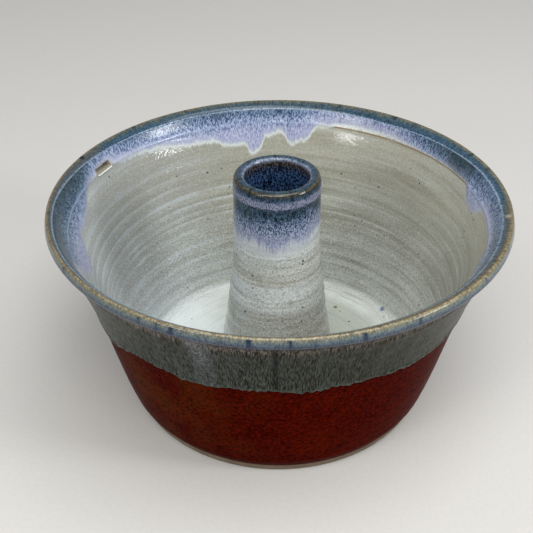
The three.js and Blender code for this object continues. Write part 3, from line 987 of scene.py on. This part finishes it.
def blue_over_lip(f, along):
    """Colour of the blue coat on the lip: light blue face, ochre edge, and an olive or teal top."""
    grain = f.fit(f.streaks(LIP_R, 1.2, 0.7, 3, 0.6), 0.38, 0.62)
    fray = f.streaks(LIP_R, 3, 1.4)
    station = f.plus(along, f.swing(fray, 0.35))
    face = [
        (S_NECK, (47, 45, 48), (78, 74, 78)),
        (S_NECK + 2.4, (44, 47, 54), (78, 78, 86)),
        (S_LIP - 3.1, (34, 47, 66), (66, 79, 96)),
        (S_LIP - 2.2, (50, 67, 80), (88, 102, 110)),
        (S_LIP - 1.2, (74, 83, 82), (112, 120, 114)),
    ]
    olive = f.speckled(station, grain, face + [
        (S_LIP - 0.4, (84, 83, 66), (134, 131, 110)),
        # Painted highlight in part: the light ochre on the lip's top edge.
        (S_LIP + 0.3, (110, 98, 70), (170, 156, 124)),
        (S_LIP + 0.9, (72, 62, 40), (118, 104, 76)),
        (S_RIDGE - 0.7, (66, 62, 48), (106, 100, 80)),
        # A pale line at the ridge: the glaze breaking thin over it, and partly a painted highlight.
        (S_RIDGE - 0.2, (92, 106, 112), (134, 148, 156)),
    ])
    # The ochre line along the lip's edge is the glaze breaking over it and partly a painted highlight:
    # lightest at the front, darkened towards the sides.
    on_top = f.along(S_LIP - 0.6, S_LIP)
    highlight_falloff = f.around(-90, 0.8, 0.3, 0, 0.5)
    olive = f.mix(f.times(on_top, highlight_falloff), olive, (88, 76, 50))
    worn = f.fit(f.streaks(LIP_R, 2, 1.7, 3), 0.53, 0.66, 0, 0.7)
    olive = f.mix(f.times(on_top, worn), olive, (58, 48, 34))
    teal = f.speckled(station, grain, face + [
        (S_LIP - 0.9, (64, 66, 56), (100, 100, 84)),
        (S_LIP - 0.3, (74, 68, 46), (112, 104, 78)),
        (S_LIP + 0.8, (78, 73, 52), (118, 112, 88)),
        (S_LIP + 1.3, (30, 48, 56), (70, 92, 102)),
        (S_LIP + 2.0, (16, 40, 56), (60, 90, 112)),
        (S_RIDGE - 0.4, (18, 44, 62), (62, 92, 116)),
        # A pale line at the ridge: the glaze breaking thin over it, and partly a painted highlight.
        (S_RIDGE, (104, 124, 144), (150, 166, 184)),
    ])
    inner = f.times(f.along(S_LIP + 0.7, S_LIP + 1.3), f.around(-90, 0.85, 0.5, 0, 0.6))
    colour = f.mix(f.math("MAXIMUM", inner, f.around(74, 0.04, 0.26)), olive, teal)
    on_face = f.along(S_LIP - 0.1, S_LIP - 0.7, 0, 1.7)
    colour = f.mix(f.times(f.field("face_dash"), on_face), colour, (12, 36, 62))
    on_edge = f.times(f.along(S_LIP, S_LIP + 0.4, 0, 1.4), f.along(S_LIP + 3, S_LIP + 1.6))
    colour = f.mix(f.times(f.field("top_dash"), on_edge), colour, (14, 20, 27))
    return f.mix(f.times(0.6, f.spot(LIP_CHIP, 2.2)), colour, (160, 146, 126))


def blue_over_cream(f, radius, melt, pale, halo, grain, stops):
    """Colour of the blue coat where it has run over the cream: lavender, a white halo, then cream."""
    fray = f.streaks(radius, 5, 1.1, 3)
    ragged = f.plus(f.field("edge"), f.swing(fray, 1.2 * melt))
    low = f.fit(ragged, 9 * melt, 4 * melt)
    station = f.plus(f.station, f.field("tone"))
    station = f.plus(station, f.swing(fray, 2))
    colour = f.speckled(station, grain, stops)
    lavender = f.times(pale, f.fit(ragged, 4 * melt, 7 * melt, 0.8, 0))
    colour = f.mix(lavender, colour, (168, 173, 193))
    drips = f.fit(f.streaks(radius, 12, 0.8), 0.55, 0.7, 0, 0.6)
    colour = f.mix(f.times(low, drips), colour, (116, 113, 152))
    cream = cream_colour(f)
    whiter = f.mix(0.75, cream, (216, 222, 220))
    colour = f.mix(f.times(halo, f.fit(ragged, 2.2 * melt, 4.2 * melt, 1, 0)), colour, whiter)
    return f.mix(f.fit(ragged, 0.1, 1.9 * melt, 1, 0), colour, cream)


def blue_over_flare(f):
    """Teal under the ridge, then navy and lavender flecks, then lavender."""
    grain = f.fit(f.streaks(FLARE_R, 1.5, 0.6, 2, 0.5), 0.41, 0.59)
    pale = f.times(f.around(28, 0.96, 0.91, 0.1, 1), f.around(186, 0.8, 0.96, 1, 0.15))
    halo = f.around(95, 0.55, 0.8, 0.15, 1)
    colour = blue_over_cream(f, FLARE_R, FLARE_MELT, pale, halo, grain, [
        (S_RIDGE - 7, (20, 38, 46), (58, 78, 86)),
        (S_RIDGE - 1, (20, 40, 58), (92, 114, 132)),
        (S_RIDGE + 2, (30, 52, 78), (112, 134, 160)),
        (S_RIDGE + 6, (50, 72, 106), (144, 159, 188)),
        (S_RIDGE + 9, (78, 96, 132), (168, 178, 202)),
        (S_RIDGE + 13, (124, 131, 163), (170, 174, 198)),
        (S_RIDGE + 24, (140, 143, 172), (174, 177, 200)),
    ])
    strokes = f.fit(f.streaks(FLARE_R, 7, 1.1, 2), 0.55, 0.66, 0, 0.55)
    colour = f.mix(f.times(strokes, f.along(S_RIDGE + 9, S_RIDGE + 4)), colour, (28, 50, 70))
    under_ridge = f.times(f.along(S_RIDGE + 2.2, S_RIDGE + 0.6), f.around(90, 0.1, 0.5))
    colour = f.mix(f.times(under_ridge, 0.5), colour, (34, 58, 80))
    # A light line on the crease bead: the glaze breaking thin over it, and partly a painted highlight.
    on_bead = f.times(f.fit(f.away_from(S_CREASE), 0.8, 0.2, 0, 0.45), f.fit(f.field("edge"), 2.5, 4))
    colour = f.mix(on_bead, colour, (152, 166, 196))
    on_crease = f.fit(f.away_from(S_CREASE + 0.3), 0.55, 0.25)
    bare_edge = f.fit(f.field("edge"), 1.4, 0.9)
    worn = f.times(f.around(44, 0.84, 0.9), f.times(on_crease, bare_edge))
    return f.mix(worn, colour, (140, 120, 84))


def rim_blue_glaze():
    f = Finish("rim_blue_glaze")
    reach = f.times(f.around(98, 0.1, 0.7, 0, 2.0), f.along(S_LIP + 1, S_LIP + 3.5))
    along = f.math("SUBTRACT", f.station, reach)
    inside = f.fit(along, S_RIDGE + 0.15, S_RIDGE + 0.45)
    colour = f.mix(inside, blue_over_lip(f, along), blue_over_flare(f))
    grain = f.noise(f.position, 3, 0.6, size=1.1)
    return f.done(colour, grain, BLUE_ROUGH, 0.15, f.fit(f.away_from(S_RIDGE), 0.8, 1.8, 0.15, 0.7))


def tube_blue_glaze():
    f = Finish("tube_blue_glaze")
    grain = f.fit(f.streaks(TUBE_R, 1.0, 0.62, 2, 0.5), 0.4, 0.6)
    below = blue_over_cream(f, TUBE_R, TUBE_MELT, 0.55, 0.8, grain, [
        (S_TUBE_NECK - 24, (120, 126, 152), (164, 168, 190)),
        (S_TUBE_NECK - 16, (84, 98, 130), (164, 171, 194)),
        (S_TUBE_NECK - 10, (42, 64, 96), (164, 174, 196)),
        (S_TUBE_NECK - 6, (30, 50, 74), (122, 138, 166)),
        (S_TUBE_NECK - 3, (14, 34, 46), (70, 97, 118)),
        (S_TUBE_NECK + 0.5, (16, 34, 46), (68, 92, 110)),
    ])
    wander = f.swing(f.streaks(TUBE_R, 4, 3), 0.4)
    coarse = f.fit(f.streaks(BORE_R, 1.3, 0.75, 2, 0.5), 0.42, 0.62)
    grain = f.mix(f.along(S_BORE + 0.5, S_BORE + 1.5), grain, coarse)
    above = f.speckled(f.plus(f.station, wander), grain, [
        (S_TUBE_NECK, (16, 34, 46), (68, 92, 110)),
        (S_TUBE_NECK + 1.2, (30, 46, 60), (84, 98, 118)),
        (S_TUBE_NECK + 2.2, (84, 91, 114), (152, 154, 176)),
        (S_SWELL, (80, 89, 112), (144, 148, 170)),
        (S_SWELL + 0.8, (30, 49, 68), (82, 102, 125)),
        (S_CROWN - 1.5, (16, 30, 40), (56, 71, 83)),
        (S_CROWN - 0.6, (28, 27, 18), (64, 60, 44)),
        (S_CROWN - 0.1, (56, 46, 22), (102, 87, 50)),
        (S_CROWN + 0.3, (26, 35, 36), (62, 74, 76)),
        (S_CROWN + 1, (16, 34, 46), (54, 76, 90)),
        (S_BORE - 0.7, (26, 46, 62), (70, 90, 108)),
        (S_BORE + 0.1, (84, 96, 122), (148, 157, 178)),
        (S_BORE + 0.9, (66, 72, 84), (100, 105, 116)),
        (S_BORE + 1.8, (24, 20, 18), (84, 74, 62)),
        (S_BORE + 4, (10, 16, 26), (70, 80, 98)),
        (S_BORE + 7, (4, 13, 32), (62, 89, 128)),
        (S_BORE + 30, (4, 13, 32), (60, 86, 126)),
    ])
    near_neck = f.fit(f.away_from(S_TUBE_NECK - 3), 5, 2)
    marks = f.fit(f.streaks(TUBE_R, 3, 1.3), 0.55, 0.62, 0, 0.9)
    below = f.mix(f.times(near_neck, marks), below, (6, 12, 18))
    colour = f.mix(f.along(S_TUBE_NECK - 0.5, S_TUBE_NECK + 0.5), below, above)
    on_top = f.times(f.along(S_SWELL + 0.6, S_SWELL + 1.4), f.along(S_BORE, S_BORE - 1))
    colour = f.mix(f.times(f.field("top_dash"), on_top), colour, (8, 14, 22))
    return f.done(colour, f.noise(f.position, 3, 0.6, size=1.2), BLUE_ROUGH, 0.1, 0.2)


# Assembly

SHARP_ANGLE = 50


def add_piece(mesh, node, material, slotted=False):
    piece = bpy.data.objects.new(mesh.name, mesh)
    bpy.context.collection.objects.link(piece)
    piece.data.materials.append(material)
    if slotted:
        cut_slot(piece)
    piece.data.shade_smooth()
    piece.data.set_sharp_from_angle(angle=math.radians(SHARP_ANGLE))
    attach(piece, "root")
    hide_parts(node)


clay = bare_clay()
add_piece(clay_floor(), "floor_disc", clay)
add_piece(clay_wall(), "side_wall", clay, slotted=True)
add_piece(clay_tube(), "centre_tube", clay)
add_piece(clay_wall_coil(), "wall_seam_coil", clay)
add_piece(clay_tube_coil(), "tube_seam_coil", clay)
add_piece(glaze_red(), "red_coat", red_glaze())
add_piece(glaze_cream(), "liner_coat", cream_glaze(), slotted=True)
add_piece(glaze_blue_band(), "rim_coat", band_blue_glaze(), slotted=True)
add_piece(glaze_blue_rim(), "rim_coat", rim_blue_glaze(), slotted=True)
add_piece(glaze_slot_lining(), "rim_coat", slot_glaze())
add_piece(glaze_blue_tube(), "tube_coat", tube_blue_glaze())


# Stage, light and camera: metres, apart from the camera's place

FLOOR_HALF = 12.0
FLOOR_GAP = 0.1 * MM
LAMP_AIM_Z = 0.09
SKY_COLOUR = (0.93, 0.96, 1.0, 1)
SKY_STRENGTH = 0.38
# Name, way round, height in degrees, distance, size, power, colour
LAMPS = [
    ("ceiling", -40, 73, 1.35, (1.0, 1.0), 10, (0.98, 0.99, 1.0)),
    ("front", -104, 52, 1.3, (1.2, 0.4), 8.6, (1.0, 0.99, 0.97)),
    ("window_right", -20, 24, 1.2, (0.26, 0.22), 5, (0.95, 0.98, 1.0)),
    ("window_left", -134, 23.5, 1.2, (0.22, 0.1), 1.6, (0.95, 0.98, 1.0)),
]


def floor():
    mesh = bpy.data.meshes.new("floor")
    corners = [(-1, -1), (1, -1), (1, 1), (-1, 1)]
    mesh.from_pydata([(x * FLOOR_HALF, y * FLOOR_HALF, -FLOOR_GAP) for x, y in corners], [], [(0, 1, 2, 3)])
    plane = bpy.data.objects.new("floor", mesh)
    bpy.context.collection.objects.link(plane)
    f = Finish("floor")
    grain = f.noise(f.position, 3, size=2)
    colour = f.ramp(grain, [(0.3, (204, 201, 196)), (0.7, (208, 205, 200))])
    mesh.materials.append(f.done(colour, grain, (0.9, 0.9), 0.05, 0.1))


def aimed(pitch, yaw, roll=0.0):
    """A turn that aims a lamp or camera: degrees down, round from +Y, and rolled."""
    turns = ((yaw, "Z"), (90 - pitch, "X"), (roll, "Z"))
    first, second, third = (Matrix.Rotation(math.radians(angle), 4, axis) for angle, axis in turns)
    return first @ second @ third


def area_light(name, angle, height, distance, size, power, colour):
    """A lamp that looks at the pan from that far round, that high up in degrees and that far away."""
    light = bpy.data.lights.new(name, "AREA")
    light.shape = "RECTANGLE"
    light.size, light.size_y = size
    light.energy = power
    light.color = colour
    lamp = bpy.data.objects.new(name, light)
    bpy.context.collection.objects.link(lamp)
    aim = Matrix.Translation((0, 0, LAMP_AIM_Z))
    lamp.matrix_world = aim @ aimed(height, angle + 90) @ Matrix.Translation((0, 0, distance))


def world():
    made = bpy.data.worlds.new("studio")
    made.use_nodes = True
    background = made.node_tree.nodes["Background"]
    background.inputs["Color"].default_value = SKY_COLOUR
    background.inputs["Strength"].default_value = SKY_STRENGTH
    bpy.context.scene.world = made


# The photograph's camera, fitted to the circles of the rim, tube and foot
CAMERA_PLACE = (0, -383.5, 328.4)
CAMERA_PITCH = 34.38
CAMERA_YAW = -0.86
CAMERA_ROLL = -0.33
CAMERA_FOCUS = 930
PHOTO_SIDE = 533
SENSOR_WIDTH = 36


def camera():
    lens = bpy.data.cameras.new("camera")
    lens.sensor_width = SENSOR_WIDTH
    lens.lens = SENSOR_WIDTH * CAMERA_FOCUS / PHOTO_SIDE
    lens.clip_start = 0.01
    eye = bpy.data.objects.new("camera", lens)
    bpy.context.collection.objects.link(eye)
    place = Matrix.Translation(np.array(CAMERA_PLACE) * MM)
    eye.matrix_world = place @ aimed(CAMERA_PITCH, -CAMERA_YAW, CAMERA_ROLL)
    bpy.context.scene.camera = eye


floor()
for lamp in LAMPS:
    area_light(*lamp)
world()
camera()
bpy.context.scene.view_settings.view_transform = "Standard"
